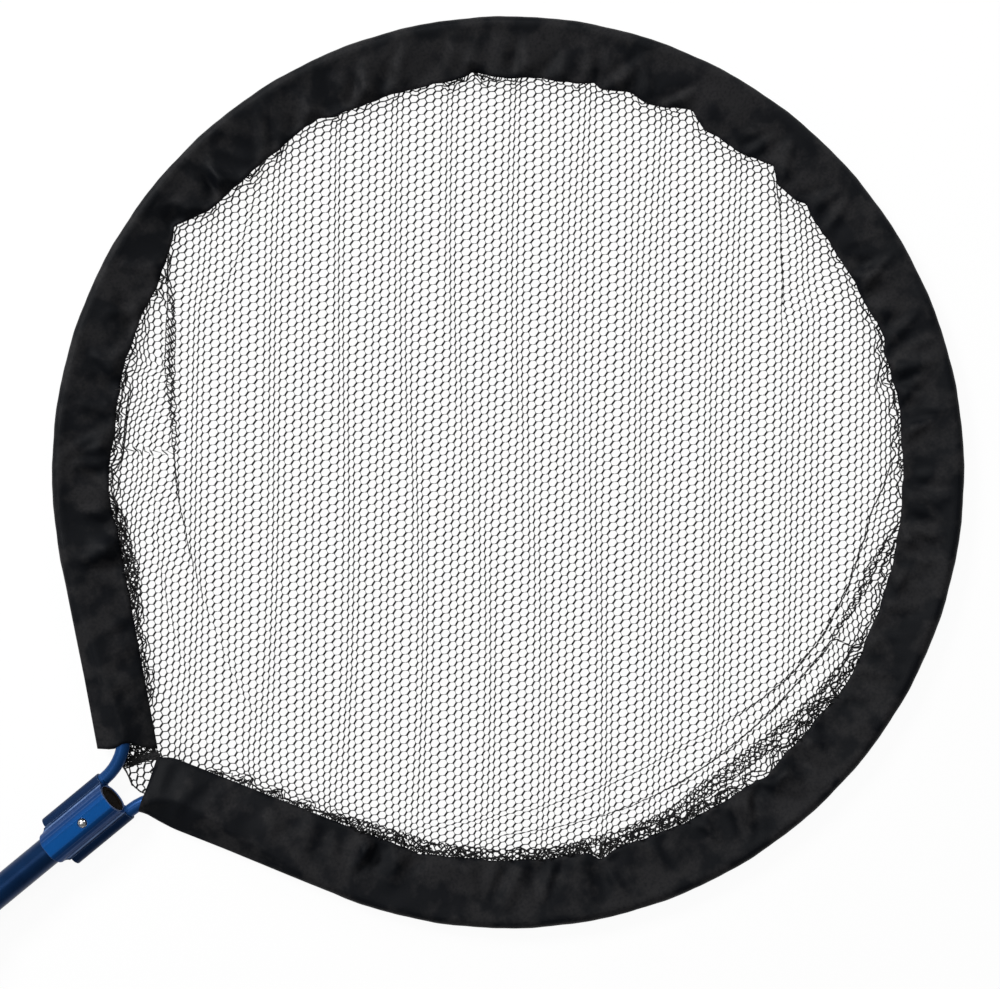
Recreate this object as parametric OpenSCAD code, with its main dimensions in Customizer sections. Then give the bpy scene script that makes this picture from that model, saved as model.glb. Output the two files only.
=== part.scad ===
// Koi pan net: a round hoop in a fabric sleeve carries a flat net and clips to a telescopic pole.
// The hoop is centred over the origin, the floor is Z = 0 and the pole runs along -X.

/* [Hoop] */
// Diameter of the hoop at the middle of its rod
hoop_d = 750; // [600:5:900]
// Thickness of the hoop rod
rod_d = 11; // [8:0.5:12]
// Angle from the pole line at which the rod leaves its circle
leave_angle = 20; // [16:1:24]
// Radius at which the rod bends back to run beside the pole
bend_r = 45; // [35:1:60]
// Depth of the rods below the middle of the pole
rod_drop = 7.8; // [5:0.1:9]

/* [Sleeve] */
// Width of the fabric sleeve from its outer fold to its hem
sleeve_w = 48; // [40:1:70]
// Thickness of the sleeve's fabric
cloth_t = 0.8; // [0.6:0.1:1.2]
// Gap between the rod and the fabric round it
rod_play = 0.4; // [0.3:0.1:1]
// Thickness of the sewn hem
hem_t = 2.4; // [2:0.1:4]
// Angle from the pole line at which the sleeve leaves its circle and runs straight
sleeve_angle = 29; // [27:1:33]
// Distance from the side of the rod's leg to the outer corner of the sleeve's far end
far_clear = 20.6; // [10:0.1:40]
// Distance from the side of the rod's leg to the outer corner of the sleeve's near end
near_clear = 2.2; // [1.8:0.1:15]

/* [Net] */
// Thickness of the net where it lies on the floor
net_t = 1.2; // [1:0.1:2]
// Width of the net's rim that is sewn under the hem
seam_w = 9; // [6:1:14]
// Distance between neighbouring cells of the net
cell_pitch = 38; // [36:1:60]
// Width of the strands between the cells
strand_w = 4; // [3:0.5:6]
// Turn of the net's rows against the pole line
cell_turn = 50; // [0:1:60]

/* [Bracket] */
// Length of the bracket's two side lobes
bracket_l = 59; // [45:1:80]
// Length of the neck behind the side lobes
neck_l = 6; // [4:0.5:10]
// Wall of the socket round the pole
socket_wall = 2.2; // [1.8:0.1:3]
// Wall of the side lobes round the rods
lobe_wall = 1.3; // [1:0.1:2]
// Thinnest wall between the pole's bore and a rod's bore
web_t = 0.9; // [0.6:0.1:2]
// Width of the flat on the crown
crown_w = 10; // [6:0.5:12]
// Width of the raised saddle where it meets the socket
saddle_w = 18.8; // [14:0.2:20]
// Radial clearance of the pole and the rods in their bores
socket_fit = 0.1; // [0.05:0.05:0.2]

/* [Snap button] */
// Diameter of the button
button_d = 6.4; // [5:0.1:7]
// Height of the button's top above the crown
button_rise = 2.4; // [2:0.1:3]
// Distance of the button behind the bracket's middle, less than 0 in front of it
button_shift = -2.5; // [-3:0.5:12]
// Radial gap round the button in the pole
button_play = 0.3; // [0.2:0.05:0.5]
// Radial gap round the button in the bracket
button_ring = 0.8; // [0.5:0.1:1.2]
// Thickness of the button's flange
flange_t = 1.2; // [0.8:0.1:2]
// Width of the leaf spring
leaf_w = 6; // [4:0.5:7]
// Thickness of the leaf spring
leaf_t = 0.6; // [0.4:0.1:1]

/* [Pole] */
// Outside diameter of the inner pole
pole_d = 24.5; // [20:0.5:28]
// Wall of both poles
pole_wall = 1.2; // [1:0.1:1.8]
// Radial gap between the inner and the outer pole
slide_gap = 0.3; // [0.25:0.05:0.6]
// Length of the outer pole
outer_l = 718; // [500:1:1000]
// Bare pole between the bracket and the lock collar
bare_l = 89; // [60:1:200]
// Length of the guide bush at the end of the inner pole
guide_l = 100; // [60:1:140]
// Radial clearance of plugs and bushes
plug_fit = 0.05; // [0.02:0.01:0.1]

/* [Twist lock] */
// Length of the lock collar
collar_l = 52; // [44:1:70]
// Wall of the lock collar round the collet
collar_wall = 1.9; // [1.7:0.1:3]
// Number of finger flutes round the collar
flutes = 14; // [8:1:20]
// Wall of the collet on the outer pole
collet_wall = 1.75; // [1.4:0.05:2.5]
// Width of the slots that split the collet
slot_w = 2; // [1:0.5:3]
// Clearance between the collar and the collet
lock_gap = 0.4; // [0.3:0.05:0.6]

/* [Grip and cap] */
// Length of the hand grip
grip_l = 130; // [90:1:200]
// Thickness of the hand grip
grip_wall = 4.5; // [4.2:0.1:7]
// Number of grooves round the grip
grooves = 9; // [4:1:12]
// Length of the cap's hang tab
tab_l = 25; // [20:1:40]
// Width of the hang tab
tab_w = 16; // [14:1:22]
// Thickness of the hang tab
tab_t = 7; // [5:0.5:10]
// Diameter of the hang hole
hang_d = 8; // [5:0.5:10]

/* [Hidden] */
$fn = 96;
over = 1;

// Pole radii, from the inside out
pole_r = pole_d / 2;
pole_in_r = pole_r - pole_wall;
outer_in_r = pole_r + slide_gap;
outer_r = outer_in_r + pole_wall;
pole_z = outer_r + grip_wall;

// Bores of the bracket, set apart by the web between them
pole_bore_r = pole_r + socket_fit;
rod_r = rod_d / 2;
rod_bore_r = rod_r + socket_fit;
socket_r = pole_bore_r + socket_wall;
lobe_r = rod_bore_r + lobe_wall;
leg_y = sqrt(pow(pole_bore_r + rod_bore_r + web_t, 2) - pow(rod_drop, 2));
crown_z = sqrt(pow(socket_r, 2) - pow(crown_w / 2, 2));
rod_z = pole_z - rod_drop;

// Path of one rod end: circle, straight, bend, leg
hoop_r = hoop_d / 2;
straight_l = ((hoop_r + bend_r) * sin(leave_angle) - leg_y - bend_r) / cos(leave_angle);
bend_x = -(hoop_r + bend_r) * cos(leave_angle) - straight_l * sin(leave_angle);
leg_end_gap = 2;
joint_gap = 0.2;
joint_bead = 0.03;

// Places along the pole
bend_lead = 2;
bracket_x = bend_x - bend_lead;
lobe_end_x = bracket_x - bracket_l;
neck_end_x = lobe_end_x - neck_l;
button_x = bracket_x - bracket_l / 2 - button_shift;
collar_x = neck_end_x - bare_l;
plug_lip = 2;
plug_depth = 6;
pole_x = bracket_x - plug_lip;
collet_nose = 26;
nose_inset = 6;
outer_x = collar_x - nose_inset - collet_nose;
outer_end_x = outer_x - outer_l;
cap_depth = 18;
guide_gap = 22;
guide_end_x = outer_end_x + cap_depth + guide_gap;
guide_x = guide_end_x + guide_l;

// Sleeve section
tube_r = rod_r + rod_play + cloth_t;
channel_r = rod_r + rod_play;
sleeve_r = hoop_r + tube_r;
hem_r = sleeve_r - sleeve_w;
leg_side = leg_y + rod_r;
far_l = (sleeve_r * sin(sleeve_angle) - leg_side - far_clear) / cos(sleeve_angle);
near_l = (sleeve_r * sin(sleeve_angle) - leg_side - near_clear) / cos(sleeve_angle);
tuck = 0.3;
// A sewn band a little larger than the sleeve bridges each joint to a straight end
lap = 0.15;
band_l = 3;
// Room inside the straight ends for the rod at its furthest from the fold
bend_reach = (leg_y + bend_r) * sin(sleeve_angle) - bend_x * cos(sleeve_angle) - bend_r;
room = hoop_r - bend_reach + channel_r;
taper_r = hoop_r - room - cloth_t;
fold_half = tube_r - tuck;
hem_top = net_t + hem_t;
hem_bottom = net_t + lap;

// A tube or rod along the pole, from its front end backwards
module round_bar(x, length, r) {
    translate([x - length, 0, pole_z]) rotate([0, 90, 0]) cylinder(h = length, r = r);
}

// A turned shape about the pole: the drawing's second axis points forwards along the pole
module turned(x) {
    translate([x, 0, pole_z]) rotate([0, 90, 0]) rotate_extrude() children();
}

// A section across the pole, run backwards from x
module section_along(x, length) {
    translate([x - length, 0, pole_z]) rotate([90, 0, 90]) linear_extrude(length) children();
}

// One end of the rod, from the circle to the end of its leg, with a bead bridging each joint
module rod_end() {
    leg_l = bracket_l + bend_x - bracket_x - leg_end_gap;
    heading = 270 - leave_angle;
    from = [-hoop_r * cos(leave_angle), hoop_r * sin(leave_angle), 0];
    to = from + straight_l * [cos(heading), sin(heading), 0];
    translate(from) rotate([0, 90, heading]) translate([0, 0, joint_gap])
        cylinder(h = straight_l - 2 * joint_gap, r = rod_r);
    translate([bend_x, leg_y + bend_r, 0]) rotate([0, 0, -90])
        rotate_extrude(angle = 90 - leave_angle) translate([bend_r, 0]) circle(r = rod_r);
    translate([bend_x - leg_l, leg_y, 0]) rotate([0, 90, 0]) cylinder(h = leg_l - joint_gap, r = rod_r);
    for (joint = [from, to, [bend_x, leg_y, 0]]) translate(joint) sphere(r = rod_r + joint_bead);
}

module hoop_rod() {
    arc = 180 - leave_angle;
    color("royalblue") translate([0, 0, rod_z]) {
        rotate([0, 0, -arc]) rotate_extrude(angle = 2 * arc) translate([hoop_r, 0]) circle(r = rod_r);
        rod_end();
        mirror([0, 1, 0]) rod_end();
    }
}

// Sleeve drawn close round the rod, flattening to the hem
module ring_section() {
    difference() {
        union() {
            translate([hoop_r, rod_z]) circle(r = tube_r);
            polygon([[hoop_r, rod_z + fold_half], [hem_r, hem_top], [hem_r, hem_bottom],
                [hoop_r, rod_z - fold_half]]);
        }
        translate([hoop_r, rod_z]) circle(r = channel_r);
    }
}

// Sleeve at its ends, where the rod crosses from the fold towards the middle
module end_section() {
    slot = channel_r - tuck;
    difference() {
        union() {
            translate([hoop_r, rod_z]) circle(r = tube_r);
            polygon([[hoop_r, rod_z + fold_half], [taper_r, rod_z + fold_half], [hem_r, hem_top],
                [hem_r, hem_bottom], [taper_r, rod_z - fold_half], [hoop_r, rod_z - fold_half]]);
        }
        translate([hoop_r, rod_z]) circle(r = channel_r);
        translate([hoop_r - room, rod_z - slot]) square([room, 2 * slot]);
    }
}

// Band over a joint: it holds both sections, and its channel is narrower than theirs
module band_section() {
    band_half = fold_half + lap;
    difference() {
        union() {
            translate([hoop_r, rod_z]) circle(r = tube_r + lap);
            polygon([[hoop_r, rod_z + band_half], [taper_r, rod_z + band_half], [hem_r - lap, hem_top + lap],
                [hem_r - lap, net_t], [hoop_r, rod_z - band_half]]);
        }
        translate([hoop_r, rod_z]) circle(r = channel_r - lap);
    }
}

module hoop_sleeve() {
    arc = 180 - sleeve_angle;
    arc_gap = joint_gap / hoop_r * 180 / PI;
    color([0.13, 0.13, 0.13]) {
        rotate([0, 0, arc_gap - arc]) rotate_extrude(angle = 2 * (arc - arc_gap)) ring_section();
        for (side = [-1, 1]) rotate([90, 0, side * arc]) translate([0, 0, -band_l / 2])
            linear_extrude(band_l) band_section();
        rotate([90, 0, arc]) translate([0, 0, -far_l]) linear_extrude(far_l - joint_gap) end_section();
        rotate([90, 0, -arc]) translate([0, 0, joint_gap]) linear_extrude(near_l - joint_gap) end_section();
    }
}

// Outline of the net: a circle with a tail that runs between the sleeve's ends
tail_gap = 22;
tail_end = -bend_x - tail_gap;
tail_half = 10;

module net_outline(r, tail) {
    touch = r * [cos(sleeve_angle), sin(sleeve_angle)];
    circle(r = r);
    polygon([[-touch.x, touch.y], [-tail, tail_half], [-tail, -tail_half], [-touch.x, -touch.y]]);
}

// Whole cells only: each fits inside the hem's circle, or in the tail clear of its sloping sides
hole_r = (cell_pitch - strand_w) / sqrt(3);
open_r = hem_r - strand_w;
touch_x = -open_r * cos(sleeve_angle);
tail_top = [touch_x, open_r * sin(sleeve_angle)];
tail_side = [-tail_end, tail_half] - tail_top;
function side_gap(place) = let (from = [place.x, abs(place.y)] - tail_top)
    (tail_side.x * from.y - tail_side.y * from.x) / norm(tail_side);
function on_net(place) = norm(place) + hole_r < open_r
    || (place.x < touch_x + hole_r && place.x > hole_r + strand_w - tail_end
        && side_gap(place) > hole_r + strand_w);

module net_mesh() {
    rows = ceil(tail_end / cell_pitch) + 2;
    junction = [cell_pitch / 2, cell_pitch / sqrt(12)];
    middle = [for (i = [-rows:rows], j = [-rows:rows])
        [(i + j / 2) * cell_pitch, j * cell_pitch * sqrt(3) / 2] + junction];
    turned_middle = [for (m = middle) [m.x * cos(cell_turn) - m.y * sin(cell_turn),
        m.x * sin(cell_turn) + m.y * cos(cell_turn)]];
    color([0.08, 0.08, 0.08]) linear_extrude(net_t) difference() {
        net_outline(hem_r + seam_w, tail_end);
        for (m = turned_middle) if (on_net(m))
            translate(m) rotate(cell_turn + 30) circle(r = hole_r, $fn = 6);
    }
}

// Outside of the bracket: socket, two lobes and the saddle over them
module bracket_section() {
    saddle_y = saddle_w / 2;
    saddle_z = sqrt(pow(socket_r, 2) - pow(saddle_y, 2)) - tuck;
    lobe_top = lobe_r - rod_drop - tuck;
    socket_section();
    for (side = [-1, 1]) translate([side * leg_y, -rod_drop]) circle(r = lobe_r);
    polygon([[-leg_y, lobe_top], [-saddle_y, saddle_z], [saddle_y, saddle_z], [leg_y, lobe_top],
        [leg_y, -rod_drop], [-leg_y, -rod_drop]]);
}

// Socket with a flat crown
module socket_section() {
    difference() {
        circle(r = socket_r);
        translate([-socket_r, crown_z]) square([2 * socket_r, socket_r]);
    }
}

module head_bracket() {
    shoulder_y = socket_r + neck_l;
    neck_half = min(leg_y, shoulder_y - tuck);
    color("mediumblue") difference() {
        union() {
            section_along(bracket_x, bracket_l) bracket_section();
            section_along(bracket_x, bracket_l + neck_l) socket_section();
            difference() {
                translate([neck_end_x, -neck_half, rod_z]) cube([2 * neck_l, 2 * neck_half, rod_drop]);
                for (side = [-1, 1]) translate([neck_end_x, side * shoulder_y, 0])
                    cylinder(h = 2 * pole_z, r = neck_l);
            }
        }
        round_bar(bracket_x + over, bracket_l + neck_l + 2 * over, pole_bore_r);
        for (side = [-1, 1]) translate([lobe_end_x - over, side * leg_y, rod_z])
            rotate([0, 90, 0]) cylinder(h = bracket_l + 2 * over, r = rod_bore_r);
        translate([button_x, 0, pole_z]) cylinder(h = 2 * socket_r, r = button_d / 2 + button_ring);
    }
}

module inner_pole() {
    length = pole_x - guide_x;
    color("midnightblue") difference() {
        round_bar(pole_x, length, pole_r);
        round_bar(pole_x + over, length + 2 * over, pole_in_r);
        translate([button_x, 0, pole_z]) cylinder(h = 2 * pole_r, r = button_d / 2 + button_play);
    }
}

module pole_plug() {
    body_r = pole_in_r - plug_fit;
    bevel = 1;
    lip_bevel = 0.5;
    rim_w = 2;
    dish = 0.8;
    dish_r = pole_in_r - rim_w;
    color([0.06, 0.05, 0.05]) turned(pole_x) polygon([[0, -plug_depth], [body_r - bevel, -plug_depth],
        [body_r, bevel - plug_depth], [body_r, 0], [pole_r, 0], [pole_r, plug_lip - lip_bevel],
        [pole_r - lip_bevel, plug_lip], [dish_r, plug_lip], [dish_r - dish, plug_lip - dish],
        [0, plug_lip - dish]]);
}

// Button: domed shank through the pole and bracket, with a flange inside the pole
flange_lip = 1.4;
flange_gap = 0.4;
dome_r = 4.2;
flange_r = button_d / 2 + flange_lip;
flange_top = sqrt(pow(pole_in_r, 2) - pow(flange_r, 2)) - flange_gap;
flange_z = flange_top - flange_t;
button_top = crown_z + button_rise;

module snap_button() {
    color("silver") translate([button_x, 0, pole_z]) {
        translate([0, 0, flange_z]) cylinder(h = flange_t, r = flange_r);
        intersection() {
            translate([0, 0, flange_z]) cylinder(h = button_top, r = button_d / 2);
            union() {
                translate([0, 0, button_top - dome_r]) sphere(r = dome_r);
                translate([0, 0, flange_z]) cylinder(h = button_top - dome_r - flange_z, r = button_d);
            }
        }
    }
}

// Leaf spring: two leaves joined by a half-round bend towards the pole's mouth
module button_spring() {
    leaf_gap = 0.1;
    upper = flange_z - leaf_gap;
    lower = leaf_gap - sqrt(pow(pole_in_r, 2) - pow(leaf_w / 2, 2));
    bend = (upper - lower) / 2;
    front = 6.5;
    upper_tail = 6;
    lower_tail = 12;
    upper_l = front + button_d + upper_tail;
    lower_l = upper_l + lower_tail;
    color("lightsteelblue") translate([button_x + front, leaf_w / 2, pole_z]) {
        translate([-upper_l, -leaf_w, upper - leaf_t]) cube([upper_l, leaf_w, leaf_t]);
        translate([-lower_l, -leaf_w, lower]) cube([lower_l, leaf_w, leaf_t]);
        translate([0, 0, (upper + lower) / 2]) rotate([90, 0, 0]) rotate([0, 0, -90])
            half_ring(bend, leaf_t, leaf_w);
    }
}

// Half of a ring, on the side of +Y
module half_ring(r, t, w) {
    rotate_extrude(angle = 180) translate([r - t, 0]) square([t, w]);
}

module guide_bush() {
    land_l = 16;
    land_r = outer_in_r - plug_fit;
    waist_cut = 0.8;
    waist_r = land_r - waist_cut;
    slope = 1;
    spigot_r = pole_in_r - plug_fit;
    spigot_l = 20;
    bush_wall = 3;
    bore_r = pole_in_r - bush_wall;
    color("dimgray") turned(guide_x) polygon([[bore_r, spigot_l], [spigot_r, spigot_l], [spigot_r, 0],
        [land_r, 0], [land_r, -land_l], [waist_r, -land_l - slope], [waist_r, land_l + slope - guide_l],
        [land_r, land_l - guide_l], [land_r, slope - guide_l], [land_r - slope, -guide_l], [bore_r, -guide_l]]);
}

module outer_pole() {
    color("midnightblue") difference() {
        round_bar(outer_x, outer_l, outer_r);
        round_bar(outer_x + over, outer_l + 2 * over, outer_in_r);
    }
}

// Collet: fingers round the inner pole, a ridged body on the outer pole and a rear flange
collet_in_r = outer_r + plug_fit;
collet_r = collet_in_r + collet_wall;
collet_body = 28;
collet_flange = 6;
finger_gap = 0.08;
finger_t = 1.6;
finger_r = pole_r + finger_gap;
nose_r = finger_r + finger_t;
cone_foot = 4;

module lock_collet() {
    ridge = 0.5;
    ridges = 4;
    pitch = 3.5;
    first = -3;
    ridge_shape = [[ridge, 0], [0, 0.3], [0, 0.5], [ridge, 0.8]];
    teeth = [for (k = [0:ridges - 1], p = ridge_shape) [collet_r - p[0], first - (k + p[1]) * pitch]];
    flange_w = 1.2;
    flange_out = collet_r + flange_w;
    edge = 0.6;
    rear_edge = 1;
    slot_foot = 5;
    front = collet_flange - collet_body;
    color([0.12, 0.12, 0.13]) difference() {
        turned(outer_x) polygon(concat([[finger_r, collet_nose], [nose_r, collet_nose],
            [collet_r - ridge, cone_foot]], teeth, [[collet_r - ridge, front], [flange_out - edge, front],
            [flange_out, front - edge], [flange_out, rear_edge - collet_body],
            [flange_out - rear_edge, -collet_body], [collet_in_r, -collet_body], [collet_in_r, 0],
            [finger_r, 0]]));
        for (turn = [0, 90]) translate([outer_x + slot_foot, 0, pole_z]) rotate([turn, 0, 0])
            translate([0, -slot_w / 2, -2 * collet_r]) cube([collet_nose, slot_w, 4 * collet_r]);
    }
}

module lock_collar() {
    front_wall = 4;
    bore_r = pole_r + lock_gap;
    cone_r = nose_r + lock_gap;
    chamber_r = collet_r + lock_gap;
    out_r = chamber_r + collar_wall;
    cone_l = collet_nose + nose_inset - cone_foot;
    brow = 3;
    brow_l = 5;
    rear_edge = 1.5;
    flute_r = 3;
    flute_depth = 0.9;
    flute_rear = 6;
    flute_front = 8;
    color([0.1, 0.1, 0.11]) difference() {
        turned(collar_x) polygon([[bore_r, 0], [out_r - brow, 0], [out_r, -brow_l],
            [out_r, rear_edge - collar_l], [out_r - rear_edge, -collar_l], [chamber_r, -collar_l],
            [chamber_r, -cone_l], [cone_r, -front_wall], [bore_r, -front_wall]]);
        for (k = [0:flutes - 1]) translate([collar_x - collar_l + flute_rear, 0, pole_z])
            rotate([k * 360 / flutes, 0, 0]) translate([0, 0, out_r + flute_r - flute_depth]) rotate([0, 90, 0])
                cylinder(h = collar_l - flute_rear - flute_front, r = flute_r);
    }
}

module handle_grip() {
    in_r = outer_r + plug_fit;
    out_r = outer_r + grip_wall;
    edge = 2.5;
    margin = 20;
    pitch = (grip_l - 2 * margin) / grooves;
    dip = 1.2;
    groove_shape = [[0, 0], [dip, 0.15], [dip, 0.35], [0, 0.5]];
    rings = [for (k = [0:grooves - 1], p = groove_shape) [out_r - p[0], -margin - (k + p[1]) * pitch]];
    color([0.07, 0.07, 0.07]) turned(outer_end_x + grip_l) polygon(concat([[in_r, 0], [out_r - edge, 0],
        [out_r, -edge]], rings, [[out_r, edge - grip_l], [out_r - edge, -grip_l], [in_r, -grip_l]]));
}

module end_cap() {
    disc_t = 5;
    disc_lip = 2;
    disc_edge = 1.5;
    spigot_edge = 1;
    disc_r = outer_r + disc_lip;
    spigot_r = outer_in_r - plug_fit;
    round_x = outer_end_x - tab_l + tab_w / 2;
    color([0.07, 0.07, 0.08]) difference() {
        union() {
            turned(outer_end_x) polygon([[0, cap_depth], [spigot_r - spigot_edge, cap_depth],
                [spigot_r, cap_depth - spigot_edge], [spigot_r, 0], [disc_r, 0], [disc_r, disc_edge - disc_t],
                [disc_r - disc_edge, -disc_t], [0, -disc_t]]);
            translate([round_x, 0, pole_z - tab_t / 2]) cylinder(h = tab_t, r = tab_w / 2);
            translate([round_x, -tab_w / 2, pole_z - tab_t / 2]) cube([tab_l - tab_w / 2, tab_w, tab_t]);
        }
        translate([round_x, 0, pole_z - tab_t]) cylinder(h = 2 * tab_t, r = hang_d / 2);
    }
}

hoop_rod();
hoop_sleeve();
net_mesh();
head_bracket();
inner_pole();
pole_plug();
snap_button();
button_spring();
guide_bush();
outer_pole();
lock_collet();
lock_collar();
handle_grip();
end_cap();
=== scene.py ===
import math
import bpy
import mathutils
import numpy as np
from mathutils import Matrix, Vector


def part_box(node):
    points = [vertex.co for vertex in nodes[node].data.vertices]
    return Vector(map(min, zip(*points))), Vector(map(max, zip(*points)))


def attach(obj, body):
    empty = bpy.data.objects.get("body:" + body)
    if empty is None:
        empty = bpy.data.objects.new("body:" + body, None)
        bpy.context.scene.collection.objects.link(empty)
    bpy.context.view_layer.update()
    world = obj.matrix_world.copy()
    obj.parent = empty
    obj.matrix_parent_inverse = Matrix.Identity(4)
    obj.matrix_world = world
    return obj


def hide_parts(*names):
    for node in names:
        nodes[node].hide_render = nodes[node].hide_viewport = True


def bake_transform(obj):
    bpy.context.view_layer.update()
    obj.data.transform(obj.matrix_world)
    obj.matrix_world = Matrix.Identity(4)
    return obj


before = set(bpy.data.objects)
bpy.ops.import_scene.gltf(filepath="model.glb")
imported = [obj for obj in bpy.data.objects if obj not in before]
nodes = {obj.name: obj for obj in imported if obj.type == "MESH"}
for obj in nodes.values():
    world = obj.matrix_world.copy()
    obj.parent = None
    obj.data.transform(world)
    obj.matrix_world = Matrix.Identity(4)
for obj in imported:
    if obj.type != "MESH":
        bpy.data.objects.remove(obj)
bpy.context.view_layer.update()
print("frame loaded:", len(nodes), "nodes")

mm = 0.001
rodLow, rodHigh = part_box("hoop_rod")
rodZ = (rodLow.z + rodHigh.z) / 2 / mm
rodR = (rodHigh.z - rodLow.z) / 2 / mm
hoopR = rodHigh.x / mm - rodR
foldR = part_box("hoop_sleeve")[1].x / mm          # outer fold of the sleeve


def freshStart():
    if bpy.context.object and bpy.context.object.mode != "OBJECT":
        bpy.ops.object.mode_set(mode="OBJECT")
    bpy.ops.object.select_all(action="DESELECT")


# Camera, straight above the hoop
cameraSet = {"place": (-0.017, -0.010, 1.058), "turn": -39.5, "lens": 45.0, "sensor": 36.0}
freshStart()
bpy.ops.object.camera_add(location=cameraSet["place"], rotation=(0, 0, math.radians(cameraSet["turn"])))
camera = bpy.context.object
camera.data.lens = cameraSet["lens"]
camera.data.sensor_width = cameraSet["sensor"]
bpy.context.scene.camera = camera
bpy.context.scene.view_settings.view_transform = "Standard"
print("camera set")


# Node helpers: a socket takes a link or a plain value
def feed(tree, socket, value):
    if hasattr(value, "is_output"):
        tree.links.new(value, socket)
    else:
        socket.default_value = value


def setSockets(tree, node, **values):
    for key, value in values.items():
        feed(tree, node.inputs[key.replace("_", " ")], value)


def addNode(tree, kind, settings=None, **sockets):
    node = tree.nodes.new(kind)
    for key, value in (settings or {}).items():
        setattr(node, key, value)
    setSockets(tree, node, **sockets)
    return node


def newMaterial(name):
    material = bpy.data.materials.new(name)
    material.use_nodes = True
    tree = material.node_tree
    return material, tree, tree.nodes["Principled BSDF"]


def newGroup(name, inputs, outputs):
    # inputs as label and start value, outputs as label and kind of socket
    group = bpy.data.node_groups.new(name, "ShaderNodeTree")
    for label, start in inputs.items():
        socket = group.interface.new_socket(name=label, in_out="INPUT", socket_type="NodeSocketFloat")
        socket.default_value = start
    for label, kind in outputs.items():
        group.interface.new_socket(name=label, in_out="OUTPUT", socket_type="NodeSocket" + kind)
    return group, group.nodes.new("NodeGroupInput"), group.nodes.new("NodeGroupOutput")


def useGroup(tree, group, **values):
    return addNode(tree, "ShaderNodeGroup", {"node_tree": group}, **values)


def mathNode(tree, operation, *values):
    node = addNode(tree, "ShaderNodeMath", {"operation": operation})
    for socket, value in zip(node.inputs, values):
        feed(tree, socket, value)
    return node.outputs[0]


def mixColour(tree, factor, a, b):
    node = addNode(tree, "ShaderNodeMix", {"data_type": "RGBA"})
    for number, value in ((0, factor), (6, a), (7, b)):       # the node's colour sockets
        feed(tree, node.inputs[number], value)
    return node.outputs[2]


def objectPlace(tree):
    return addNode(tree, "ShaderNodeTexCoord").outputs["Object"]


def noiseAt(tree, place, scale, detail):
    return addNode(tree, "ShaderNodeTexNoise", None, Vector=place, Scale=scale, Detail=detail).outputs[0]


# Lacquer: slow ripple of sprayed enamel, cloudy tone and fine specks, with noise as (scale, detail)
lacquerSet = {"rippleDetail": 2.0, "cloud": (55.0, 4.0), "specks": (900.0, 3.0), "speckRange": (0.62, 0.74)}


def makeLacquerGroup():
    group, inn, out = newGroup("lacquer", {"Ripple": 300.0},
                               {"Cloud": "Float", "Specks": "Float", "Height": "Float"})
    place = objectPlace(group)
    least, most = lacquerSet["speckRange"]
    specks = addNode(group, "ShaderNodeMapRange", None, Value=noiseAt(group, place, *lacquerSet["specks"]),
                     From_Min=least, From_Max=most)
    setSockets(group, out, Cloud=noiseAt(group, place, *lacquerSet["cloud"]), Specks=specks.outputs[0],
               Height=noiseAt(group, place, inn.outputs["Ripple"], lacquerSet["rippleDetail"]))
    return group


# Worn edge: where the rounded normal leaves the true one, broken up by noise
wornSet = {"samples": 6, "patch": (240.0, 4.0), "gain": 11.0}


def makeWornEdgeGroup():
    group, inn, out = newGroup("wornEdge", {"Width": 0.0006}, {"Mask": "Float", "Normal": "Vector"})
    bevel = addNode(group, "ShaderNodeBevel", {"samples": wornSet["samples"]}, Radius=inn.outputs["Width"])
    dot = addNode(group, "ShaderNodeVectorMath", {"operation": "DOT_PRODUCT"})
    feed(group, dot.inputs[0], bevel.outputs[0])
    feed(group, dot.inputs[1], addNode(group, "ShaderNodeNewGeometry").outputs["Normal"])
    away = mathNode(group, "SUBTRACT", 1.0, dot.outputs["Value"])
    patch = noiseAt(group, objectPlace(group), *wornSet["patch"])
    broken = mathNode(group, "MULTIPLY", away, mathNode(group, "MULTIPLY", patch, wornSet["gain"]))
    setSockets(group, out, Mask=mathNode(group, "MINIMUM", broken, 1.0), Normal=bevel.outputs[0])
    return group


# Moulding: fine spark texture and faint scuffs of moulded plastic and rubber
mouldingSet = {"grainDetail": 2.0, "stretch": (40.0, 400.0, 400.0), "scuff": (1.0, 5.0)}


def makeMouldingGroup():
    group, inn, out = newGroup("moulding", {"Grain": 1800.0}, {"Scuff": "Float", "Height": "Float"})
    place = objectPlace(group)
    stretched = addNode(group, "ShaderNodeMapping", None, Vector=place, Scale=mouldingSet["stretch"])
    setSockets(group, out, Scuff=noiseAt(group, stretched.outputs[0], *mouldingSet["scuff"]),
               Height=noiseAt(group, place, inn.outputs["Grain"], mouldingSet["grainDetail"]))
    return group


lacquer = makeLacquerGroup()
wornEdge = makeWornEdgeGroup()
moulding = makeMouldingGroup()

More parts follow.
